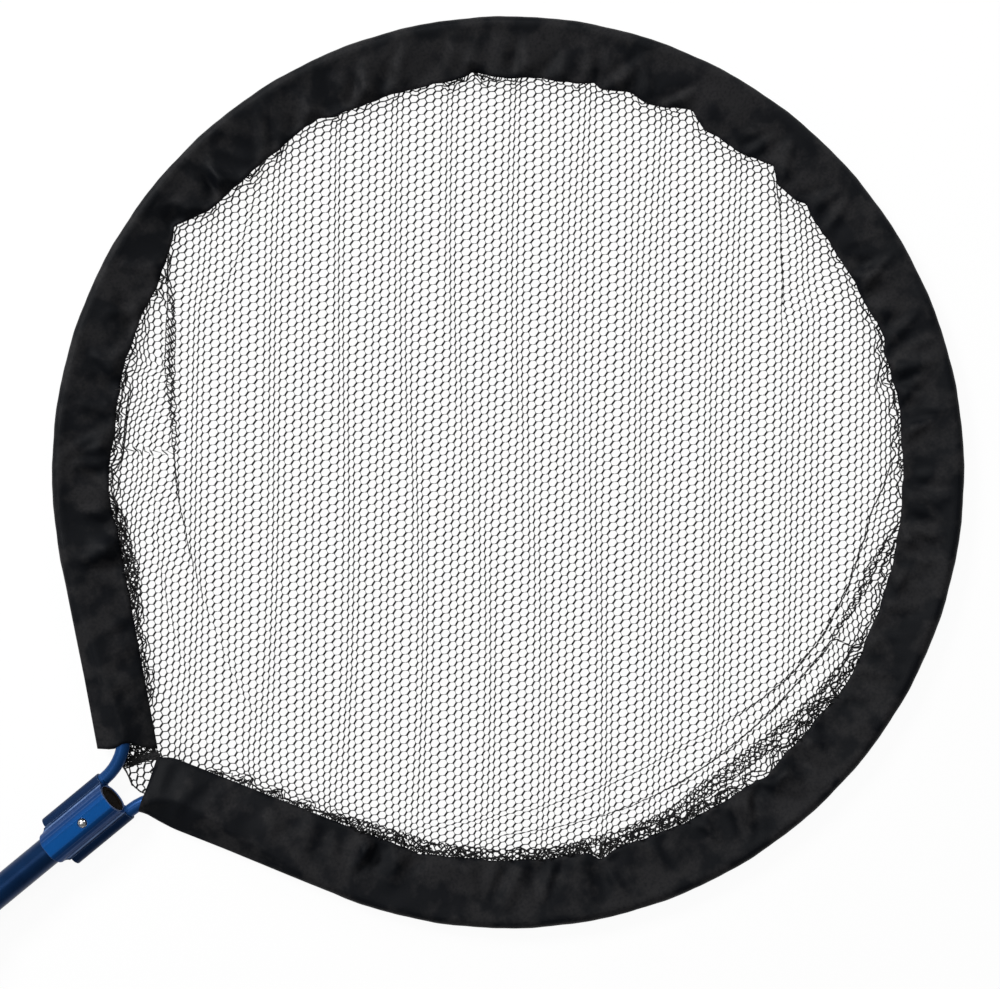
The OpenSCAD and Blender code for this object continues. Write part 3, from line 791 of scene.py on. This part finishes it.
# Net drawn together between the sleeve's ends: its own edge, a gathered arch and doubled layers
gatherSet = {
    "edgeTurn": (175.6, 183.4, 0.15),        # first angle, last angle, step
    "edgeInset": 0.3,
    "edgeZ": 0.9,
    "arch": ((-406.3, 18), (-402.6, 15), (-397.6, 12.6), (-392.5, 10.5), (-387.2, 8.3), (-382.6, 5.4),
             (-379.6, 1.3)),
    "archPoints": 40,
    "archWide": (4.0, 2.4),                  # half the arch's width at its two ends
    "archZ": 2.6,
    "strands": 13,
    "strandWander": (0.6, 2.5, 60),          # size, period and first seed
    "strandRise": (0.7, 3.0, 70),
    "outline": ((-394.5, 28.9), (-382.8, 22), (-376.8, 11.5), (-379.1, -1.4), (-383.3, 0.1), (-390.7, 5.5),
                (-398.7, 8), (-407.3, 14.3), (-406.3, 18.4)),
    "shrink": 0.8,                           # cells of the layers against the net's own
    "repeats": 3,                            # repeats and chains on each side of the middle
    "chains": 14,
    # way of the chains, shift, height
    "layers": ((62.0, 1.7, 1.5), (5.0, 2.2, 1.8), (-14.0, 0.6, 2.1), (80.0, 0.3, 2.4), (33.0, 1.1, 2.7)),
}


def insideOutline(points, outline):
    found = np.zeros(len(points), bool)
    for (x0, y0), (x1, y1) in zip(outline, outline[1:] + outline[:1]):
        crosses = (y0 > points[:, 1]) != (y1 > points[:, 1])
        found ^= crosses & (points[:, 0] < x0 + (points[:, 1] - y0) / ((y1 - y0) or 1e-9) * (x1 - x0))
    return found


def edgeLine():
    turn = np.radians(np.arange(*gatherSet["edgeTurn"]))
    edge = netEdge(np.degrees(turn)) - gatherSet["edgeInset"]
    return np.stack([edge * np.cos(turn), edge * np.sin(turn), np.full_like(edge, gatherSet["edgeZ"])], -1)


def archLines():
    arch = np.array(gatherSet["arch"])
    t = np.linspace(0, len(arch) - 1, gatherSet["archPoints"])
    base = np.stack([np.interp(t, np.arange(len(arch)), arch[:, k]) for k in range(2)], -1)
    across = np.gradient(base, axis=0)[:, ::-1] * np.array([-1, 1])
    across /= np.linalg.norm(across, axis=1, keepdims=True)
    half = np.linspace(*gatherSet["archWide"], len(t))
    wander, wanderPeriod, wanderSeed = gatherSet["strandWander"]
    rise, risePeriod, riseSeed = gatherSet["strandRise"]
    lines = []
    for k in range(gatherSet["strands"]):
        off = half * (2 * k / (gatherSet["strands"] - 1) - 1) + waver(t, wander, wanderPeriod, wanderSeed + k)
        height = gatherSet["archZ"] + waver(t, rise, risePeriod, riseSeed + k)
        lines.append(np.column_stack([base + off[:, None] * across, height]))
    return lines


def layerLines():
    middle = np.mean(gatherSet["outline"], 0)
    pitch, strand = netSet["pitch"] * gatherSet["shrink"], netSet["strand"] * gatherSet["shrink"]
    repeats = np.arange(-gatherSet["repeats"], gatherSet["repeats"] + 1)
    alongs = (repeats[:, None] * 3 * strand + np.array([-0.5, 0.5, 1.0, 2.0]) * strand).ravel()
    acrosses = np.tile([0, 0, pitch / 2, pitch / 2], len(repeats))
    lines = []
    for way, shift, height in gatherSet["layers"]:
        c, s = math.cos(math.radians(way)), math.sin(math.radians(way))
        for chain in range(-gatherSet["chains"], gatherSet["chains"] + 1):
            u = alongs + (chain % 2) * 1.5 * strand
            v = chain * pitch / 2 + acrosses + shift
            spots = np.column_stack([middle[0] + u * c - v * s, middle[1] + u * s + v * c])
            inside = insideOutline(spots, gatherSet["outline"])
            for run in np.split(np.arange(len(u)), np.nonzero(np.diff(inside))[0] + 1):
                if inside[run[0]] and len(run) > 1:
                    lines.append(np.column_stack([spots[run], np.full(len(run), height)]))
    return lines


netTable = netPaths()
netPanels = makeNet()
edgeYarn = yarnLines("net_edge_yarn", [edgeLine()] + archLines() + layerLines(), netSet["edgeR"])
print("net laid:", sum(len(panel[0].data.polygons) for panel in netPanels), "quads")

yarnSet = {
    "dark": (0.003, 0.003, 0.0035, 1), "pale": (0.010, 0.010, 0.011, 1),
    "fibre": (2600.0, 3.0), "loops": 1500.0, "bump": 0.5, "bumpDepth": 0.0002,
    "rough": 0.5, "fibreRough": 0.2, "shine": 0.3,
}


def yarnMaterial():
    material, tree, shader = newMaterial("netYarn")
    place = objectPlace(tree)
    fibre = noiseAt(tree, place, *yarnSet["fibre"])
    loops = addNode(tree, "ShaderNodeTexVoronoi", None, Vector=place, Scale=yarnSet["loops"])
    bump = addNode(tree, "ShaderNodeBump", None, Height=loops.outputs["Distance"], Strength=yarnSet["bump"],
                   Distance=yarnSet["bumpDepth"])
    rough = mathNode(tree, "MULTIPLY_ADD", fibre, yarnSet["fibreRough"], yarnSet["rough"])
    setSockets(tree, shader, Base_Color=mixColour(tree, fibre, yarnSet["dark"], yarnSet["pale"]),
               Roughness=rough, Normal=bump.outputs[0], Specular_IOR_Level=yarnSet["shine"])
    return material


yarn = yarnMaterial()
for piece in [panel[0] for panel in netPanels] + [edgeYarn]:
    piece.data.materials.append(yarn)
    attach(piece, "head")
    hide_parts("net_mesh")


# Sleeve: a folded strip round the rod, straight cut, so that its hem has length to spare and puckers
sleeveSet = {
    "step": 3.2,
    "cloth": 0.5,
    "upper": 15,                     # rows of points over the rod side, round the fold and underneath
    "arc": 11,
    "lower": 9,
    "aroundR": 6.15,                 # fold round the rod
    "loose": (0.3, 70, 31),          # size, period and seed of its slack
    "foldGap": 0.45,
    "arcTurn": (80, 280),
    "slack": (12, 2.4, 7.6),         # where the rod has left the fold: shift, radius and height of the fold
    "overRod": 1.0,
    "rodShare": 0.985,
    "hemTop": 3.3,
    "hemBottom": 1.75,
    "rim": 0.4,
    "lowerZ": (1.5, 9.0),            # least and most height of the lower layer
    "layerGap": 1.3,
    "tent": (0.7, 0.714, 0.98),      # over the rod: place and height of the knee, slope beyond it
    "ease": (9, 30),
    "puckers": 170,
    "puckerSeed": 5,
    "lean": (-26, 26),
    "tall": (1.6, 5.0),
    "wide": (5, 11),
    "root": (0.0, 0.45),
    "fan": (0.45, 0.75),             # width at the root and its growth to the hem
    "reachPower": 0.7,
    "valley": (0.7, 1.7),            # depth and place of the dip beside a pucker
    "hemFade": 6,
    "rodFade": 8,
    "straightShare": 0.5,            # height of the puckers on the straight ends
    "straightFade": 60,
    "endFade": 25,
    "settleFade": 40,
    "frames": 24,
    "cap": 6.0,                      # furthest that the cloth run moves a point
}
clothRules = {
    "quality": 8, "mass": 0.05, "tension_stiffness": 12, "compression_stiffness": 12, "shear_stiffness": 5,
    "bending_stiffness": 0.15,
}
clothGravity = 0.15
rodSet = {"leave": 20.0, "bend": 45.0, "legY": 17.16, "leastSlant": 0.2}     # its straight ends, as built
bendRad = math.radians(hemSet["bend"])
arcLength = 2 * bendRad * hoopR
topRows = slice(0, sleeveSet["upper"])
bottomRows = slice(sleeveSet["upper"] + sleeveSet["arc"], -1)


def skewed(a, q, under):
    # place along the sleeve, with the slanting cut of its ends
    far, near = np.clip(a - arcLength, 0, None), np.clip(-a, 0, None)
    inwards = np.clip(q / hemSet["width"], 0, 1.2)
    depth, middle, half = hemSet["drawBack"]
    drawn = depth * np.exp(-((q - middle) / half) ** 2)
    show = hemSet["underShow"] * under
    a = a + rampUp(far, *hemSet["skewFrom"]) * hemSet["farSkew"] * inwards
    a = a + rampUp(far, *hemSet["showFrom"]) * (show - drawn)
    return a - rampUp(near, *hemSet["skewFrom"]) * (hemSet["nearSkew"] * inwards + show)


def tapered(a, q):
    # corners of the near end, drawn in
    near, power = np.clip(-a, 0, None), hemSet["taperPower"]
    size, start, length, reach = hemSet["foldTaper"]
    q = q + size * rampUp(near, start, length) ** power * np.clip(1 - q / reach, 0, 1)
    size, start, length, inner, reach = hemSet["hemTaper"]
    return q - size * rampUp(near, start, length) ** power * rampUp(q, inner, reach)


def roundAngle(a):
    # angle round the hoop, in radians
    return np.clip(a / hoopR, 0, 2 * bendRad) - bendRad


def pastRound(a):
    # length past the round part, below 0 at the near end
    return np.where(a < 0, a, np.where(a > arcLength, a - arcLength, 0))


def alongSleeve(a, q, z):
    # a runs along the rod from the start of the round part, q inwards from the outer fold
    angle, extra, radius = roundAngle(a), pastRound(a), foldR - q
    x = radius * np.cos(angle) - extra * np.sin(angle)
    y = radius * np.sin(angle) + extra * np.cos(angle)
    return np.stack([x, y, z], -1)


def rodShift(a):
    # how far the rod has left the outer fold on the straight ends
    past = np.abs(pastRound(a))
    leave = math.radians(180 - rodSet["leave"] - hemSet["bend"])
    onArc = hoopR * (1 - np.sqrt(np.clip(1 - (past / hoopR) ** 2, 0, 1)))
    firstPast, firstShift = hoopR * math.sin(leave), hoopR * (1 - math.cos(leave))
    onLine = firstShift + (past - firstPast) * math.tan(leave)
    turn, bend = math.radians(rodSet["leave"]), rodSet["bend"]
    straight = ((hoopR + bend) * math.sin(turn) - rodSet["legY"] - bend) / math.cos(turn)
    lineEnd = firstPast + straight * math.cos(leave)
    top = lineEnd + bend * math.sin(leave)
    topShift = firstShift + straight * math.sin(leave) + bend * (1 - math.cos(leave))
    bow = 1 - ((past - top) / bend) ** 2
    onBend = topShift - bend * (1 - np.sqrt(np.clip(bow, 0, 1)))
    # a rod that crosses at a slant takes more room across the sleeve
    slant = np.where(past < lineEnd, 1.0, np.sqrt(np.clip(bow, rodSet["leastSlant"], 1)))
    return np.where(past < firstPast, onArc, np.where(past < lineEnd, onLine, onBend)), slant


def sleeveSection(a):
    # closed section at each place along the sleeve, as (q, z) from the hem over the rod and back underneath
    a = a[:, None]
    hemQ = foldR - hemRadius(np.degrees(roundAngle(a)))
    shift = rodShift(a)[0]
    slackShift, slackR, slackZ = sleeveSet["slack"]
    slack = rampUp(shift, 0, slackShift)
    aroundR, (loose, period, seed) = sleeveSet["aroundR"], sleeveSet["loose"]
    r = (aroundR + loose * (1 + waver(a, 1, period, seed))) * (1 - slack) + slackR * slack
    middleZ = rodZ * (1 - slack) + slackZ * slack
    middleQ = sleeveSet["foldGap"] + np.minimum(r, aroundR)
    rodQ = foldR - hoopR + shift + sleeveSet["overRod"]
    first, last = sleeveSet["arcTurn"]
    turn = np.radians(np.linspace(first, last, sleeveSet["arc"]))[None, :]
    arcQ, arcZ = middleQ + r * np.cos(turn), middleZ + r * np.sin(turn)

    def layer(count, startQ, startZ, rodHeight, hemZ):
        t = np.linspace(0, 1, count + 1)[None, 1:]
        q = startQ + (hemQ - startQ) * t
        rise = np.clip((q - startQ) / np.maximum(rodQ - startQ, 1e-3), 0, 1)
        fall = np.clip((q - rodQ) / np.maximum(hemQ - rodQ, 1e-3), 0, 1)
        z = np.where(q < rodQ, startZ + (rodHeight - startZ) * rise, rodHeight + (hemZ - rodHeight) * fall)
        return q, z

    clear, hemTop, hemBottom = aroundR * sleeveSet["rodShare"], sleeveSet["hemTop"], sleeveSet["hemBottom"]
    upQ, upZ = layer(sleeveSet["upper"], arcQ[:, :1], arcZ[:, :1], rodZ + clear, hemTop)
    lowQ, lowZ = layer(sleeveSet["lower"], arcQ[:, -1:], arcZ[:, -1:], rodZ - clear, hemBottom)
    rimQ, rimZ = hemQ + sleeveSet["rim"], np.full_like(hemQ, (hemTop + hemBottom) / 2)
    q = np.concatenate([upQ[:, ::-1], arcQ, lowQ, rimQ], 1)
    z = np.concatenate([upZ[:, ::-1], arcZ, lowZ, rimZ], 1)
    return q, z


def puckerRelief(a, share):
    # puckers drawn in from the hem towards the rod, with share 1 at the hem
    rng = np.random.RandomState(sleeveSet["puckerSeed"])
    rootWide, growth = sleeveSet["fan"]
    dip, beside = sleeveSet["valley"]
    relief = np.zeros((len(a), len(share)))
    for k in range(sleeveSet["puckers"]):
        spot = rng.uniform(a[0], a[-1])
        lean, tall, wide, root = [rng.uniform(*sleeveSet[key]) for key in ("lean", "tall", "wide", "root")]
        reach = np.clip((share - root) / (1 - root), 0, 1)[None, :]
        off = (a[:, None] - spot - lean * (1 - share[None, :])) / (wide * (rootWide + growth * reach))
        shape = np.exp(-off ** 2) - dip * np.exp(-(off - beside) ** 2)
        relief += tall * reach ** sleeveSet["reachPower"] * shape
    return relief


def keepLayersApart(points):
    # the upper layer stays over the lower one, and both over the floor
    upper, lower = sleeveSet["upper"], sleeveSet["lower"]
    lowZ = points[:, bottomRows, 2]
    lowZ[:] = np.clip(lowZ, *sleeveSet["lowerZ"])
    over = np.interp(np.linspace(0, 1, upper), np.linspace(0, 1, lower), np.arange(lower))
    below = np.stack([np.interp(over, np.arange(lower), row) for row in lowZ[:, ::-1]])
    points[:, topRows, 2] = np.maximum(points[:, topRows, 2], below + sleeveSet["layerGap"])


def keepOffRod(points, a, place, q):
    # tented over and under the rod
    shift, slant = rodShift(place)
    apart = np.abs(q - (foldR - hoopR + shift)) * slant
    clear = sleeveSet["aroundR"]
    kneeAt, kneeHigh, slope = sleeveSet["tent"]
    knee = kneeAt * clear
    bow = np.sqrt(np.clip(clear ** 2 - apart ** 2, 0, None))
    tent = np.where(apart < knee, bow, kneeHigh * clear - slope * (apart - knee))
    easeSize, easeLength = sleeveSet["ease"]
    ease = easeSize * (1 - np.clip(np.maximum(-a, a - arcLength)[:, None] / easeLength, 0, 1))
    first, half, last = topRows.stop, topRows.stop + sleeveSet["arc"] // 2, bottomRows.start
    for rows, give in ((slice(first, half), ease), (topRows, 0)):
        points[:, rows, 2] = np.maximum(points[:, rows, 2], rodZ + tent[:, rows] - give)
    for rows, give in ((slice(half + 1, last), ease), (bottomRows, 0)):
        points[:, rows, 2] = np.minimum(points[:, rows, 2], rodZ - tent[:, rows] + give)
    points[:, bottomRows, 2] = np.maximum(points[:, bottomRows, 2], sleeveSet["lowerZ"][0])


def settleCloth(sleeve, start, cut, free, loose):
    # the strip's own lengths pull the held shape into puckers
    scene = bpy.context.scene
    sleeve.shape_key_add(name="held")
    straight = sleeve.shape_key_add(name="cut")
    straight.data.foreach_set("co", (cut * mm).astype(np.float32).ravel())
    straight.value = 0.0
    held = sleeve.vertex_groups.new(name="pinned")
    fixed = np.nonzero(~np.tile(free, len(start)))[0]
    held.add([int(k) for k in fixed], 1.0, "REPLACE")
    cloth = sleeve.modifiers.new("settle", "CLOTH")
    cloth.settings.rest_shape_key = straight
    cloth.settings.vertex_group_mass = "pinned"
    for key, value in clothRules.items():
        setattr(cloth.settings, key, value)
    cloth.settings.effector_weights.gravity = clothGravity
    cloth.collision_settings.use_collision = False
    cloth.collision_settings.use_self_collision = False
    cloth.point_cache.frame_start = 1
    cloth.point_cache.frame_end = sleeveSet["frames"]
    for step in range(1, sleeveSet["frames"] + 1):
        scene.frame_set(step)
    shown = sleeve.evaluated_get(bpy.context.evaluated_depsgraph_get())
    found = np.zeros(len(shown.data.vertices) * 3, np.float32)
    shown.data.vertices.foreach_get("co", found)
    found = found.reshape(start.shape) / mm
    sleeve.modifiers.remove(cloth)
    sleeve.shape_key_clear()
    scene.frame_set(1)
    moved = found - start
    far = np.linalg.norm(moved, axis=-1, keepdims=True)
    print("sleeve settled: furthest move %.2f mm" % far.max())
    return start + moved * np.minimum(1, sleeveSet["cap"] / np.maximum(far, 1e-6)) * loose[:, None, None]


def makeSleeve():
    count = int((arcLength + hemSet["farLength"] + hemSet["nearLength"]) / sleeveSet["step"])
    a = np.linspace(-hemSet["nearLength"], arcLength + hemSet["farLength"], count)
    q, z = sleeveSection(a)
    around = q.shape[1]
    q = tapered(a[:, None], q)
    under = np.zeros(around)
    under[bottomRows] = 1
    place = skewed(a[:, None], q, under)
    share = np.zeros(around)
    share[topRows] = np.linspace(1, 0, sleeveSet["upper"] + 1)[:-1]
    free = np.zeros(around, bool)
    free[1:topRows.stop] = True
    free[bottomRows.start:-2] = True
    toStraight = np.minimum(a, arcLength - a)
    high = np.clip(toStraight / sleeveSet["straightFade"] + 1, sleeveSet["straightShare"], 1)[:, None]
    high = high * np.clip(np.minimum(a - a[0], a[-1] - a) / sleeveSet["endFade"], 0, 1)[:, None]
    fade = np.clip((1 - share) * sleeveSet["hemFade"], 0, 1) * np.clip(share * sleeveSet["rodFade"], 0, 1)
    z = z + np.where(free[None, :], high * puckerRelief(a, share) * fade[None, :], 0)
    points = alongSleeve(place, q, z)
    cut = np.stack([a[:, None] + np.zeros_like(q), -q, z], -1)
    rows, cols = np.meshgrid(np.arange(count - 1), np.arange(around), indexing="ij")
    here, beside = rows * around + cols, rows * around + (cols + 1) % around
    quads = np.stack([here, beside, beside + around, here + around], -1).reshape(-1, 4)
    sleeve = quadMesh("hoop_sleeve_cloth", points.reshape(-1, 3) * mm, quads)
    points = settleCloth(sleeve, points, cut, free, rampUp(toStraight, 0, sleeveSet["settleFade"]))
    keepLayersApart(points)
    keepOffRod(points, a, place, q)
    sleeve.data.vertices.foreach_set("co", (points * mm).astype(np.float32).ravel())
    # the strip's own map, along and across the cloth
    strip = sleeve.data.uv_layers.new(name="strip")
    runs = lengthAlong(q[0], z[0])
    wrap = np.append(runs, runs[-1] + 1.0)
    corners = ((0, 0), (0, 1), (1, 1), (1, 0))
    uv = np.stack([np.stack([a[rows + i], wrap[cols + j]], -1) for i, j in corners], 2)
    strip.data.foreach_set("uv", (uv * mm).astype(np.float32).ravel())
    sleeve.data.update()
    return sleeve


sleeve = makeSleeve()
freshStart()
sleeve.select_set(True)
bpy.context.view_layer.objects.active = sleeve
wall = sleeve.modifiers.new("wall", "SOLIDIFY")
wall.thickness = sleeveSet["cloth"] * mm
wall.offset = 0.0
bpy.ops.object.modifier_apply(modifier="wall")
print("sleeve made:", len(sleeve.data.polygons), "faces")

clothSet = {
    # dark and pale mixed in random patches: partly the cloth's own mottle, partly painted sheen on the nylon
    "dark": (0.0010, 0.0017, 0.0032, 1), "pale": (0.0126, 0.0124, 0.0136, 1),
    "threads": 420.0, "cloud": (42.0, 6.0), "fine": (420.0, 2.0), "cloudRange": (0.43, 0.58), "toneGain": 1.8,
    "creases": (26.0, 2.0), "creaseBump": 0.7, "creaseDepth": 0.006, "weaveBump": 0.35, "weaveDepth": 0.00025,
    "rough": 0.5, "cloudRough": 0.2, "shine": 0.12, "sheen": 0.01, "sheenRough": 0.4,
}


def clothMaterial():
    material, tree, shader = newMaterial("sleeveCloth")
    strip = addNode(tree, "ShaderNodeUVMap", {"uv_map": "strip"}).outputs[0]
    place = objectPlace(tree)
    warp, weft = [addNode(tree, "ShaderNodeTexWave", {"bands_direction": way}, Vector=strip,
                          Scale=clothSet["threads"]).outputs["Fac"] for way in "XY"]
    # random light and dark patches of the cloth: partly its own mottle, partly painted sheen and shade
    cloud = noiseAt(tree, place, *clothSet["cloud"])
    least, most = clothSet["cloudRange"]
    patches = addNode(tree, "ShaderNodeMapRange", None, Value=cloud, From_Min=least, From_Max=most)
    shade = mathNode(tree, "MULTIPLY", patches.outputs[0], noiseAt(tree, place, *clothSet["fine"]))
    shade = mathNode(tree, "MULTIPLY", shade, clothSet["toneGain"])
    rough = mathNode(tree, "MULTIPLY_ADD", cloud, clothSet["cloudRough"], clothSet["rough"])
    creaseScale, creaseDetail = clothSet["creases"]
    creases = addNode(tree, "ShaderNodeTexNoise", {"noise_type": "RIDGED_MULTIFRACTAL"}, Vector=place,
                      Scale=creaseScale, Detail=creaseDetail)
    soft = addNode(tree, "ShaderNodeBump", None, Height=creases.outputs[0], Strength=clothSet["creaseBump"],
                   Distance=clothSet["creaseDepth"])
    bump = addNode(tree, "ShaderNodeBump", None, Height=mathNode(tree, "MAXIMUM", warp, weft),
                   Strength=clothSet["weaveBump"], Distance=clothSet["weaveDepth"], Normal=soft.outputs[0])
    setSockets(tree, shader, Base_Color=mixColour(tree, shade, clothSet["dark"], clothSet["pale"]),
               Roughness=rough, Normal=bump.outputs[0], Specular_IOR_Level=clothSet["shine"],
               Sheen_Weight=clothSet["sheen"], Sheen_Roughness=clothSet["sheenRough"])
    return material


sleeve.data.materials.append(clothMaterial())
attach(sleeve, "head")
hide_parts("hoop_sleeve")


# Floor and light
stageSet = {"floor": 24.0, "shadowShare": 0.06, "tone": 0.95, "world": 0.2}
lamps = {
    "overhead": {"place": (-0.2, 0.5, 2.0), "aim": (0, 0, 0), "size": 1.2, "power": 8.0},
    "side": {"place": (-0.4, 2.2, 1.6), "aim": (0, 0, 0), "size": 0.7, "power": 64.0},
    "right": {"place": (1.5, 0.3, 0.95), "aim": (0, 0, 0), "size": 0.6, "power": 8.0},
    "stripe": {"place": (-1.35, 0.55, 1.9), "aim": (-0.5, 0, 0), "size": 0.8, "power": 6.0},
}


def floorMaterial():
    # white to the camera and in reflections, with a share of the real shadow
    material, tree = newMaterial("floorPaint")[:2]
    tree.nodes.clear()
    path = addNode(tree, "ShaderNodeLightPath")
    seen = mathNode(tree, "MAXIMUM", path.outputs["Is Camera Ray"], path.outputs["Is Glossy Ray"])
    seen = mathNode(tree, "MAXIMUM", seen, path.outputs["Is Transmission Ray"])
    matt = addNode(tree, "ShaderNodeBsdfDiffuse", None, Color=(stageSet["tone"],) * 3 + (1,))
    glow = addNode(tree, "ShaderNodeEmission", None, Color=(1, 1, 1, 1), Strength=1.0)
    both = addNode(tree, "ShaderNodeMixShader")
    amount = mathNode(tree, "MULTIPLY", seen, 1 - stageSet["shadowShare"])
    for socket, value in zip(both.inputs, (amount, matt.outputs[0], glow.outputs[0])):
        feed(tree, socket, value)
    addNode(tree, "ShaderNodeOutputMaterial", None, Surface=both.outputs[0])
    return material


freshStart()
bpy.ops.mesh.primitive_plane_add(size=stageSet["floor"], location=(0, 0, 0))
floor = bpy.context.object
floor.name = "floor"
floor.data.materials.append(floorMaterial())

for label, lampSet in lamps.items():
    freshStart()
    bpy.ops.object.light_add(type="AREA", location=lampSet["place"])
    lamp = bpy.context.object
    lamp.name = label
    way = [b - a for a, b in zip(lampSet["place"], lampSet["aim"])]
    lamp.rotation_euler = mathutils.Vector(way).to_track_quat("-Z", "Y").to_euler()
    lamp.data.size = lampSet["size"]
    lamp.data.energy = lampSet["power"]
world = bpy.data.worlds.new("studio")
world.use_nodes = True
world.node_tree.nodes["Background"].inputs[0].default_value = (1, 1, 1, 1)
world.node_tree.nodes["Background"].inputs[1].default_value = stageSet["world"]
bpy.context.scene.world = world
print("floor and light set")
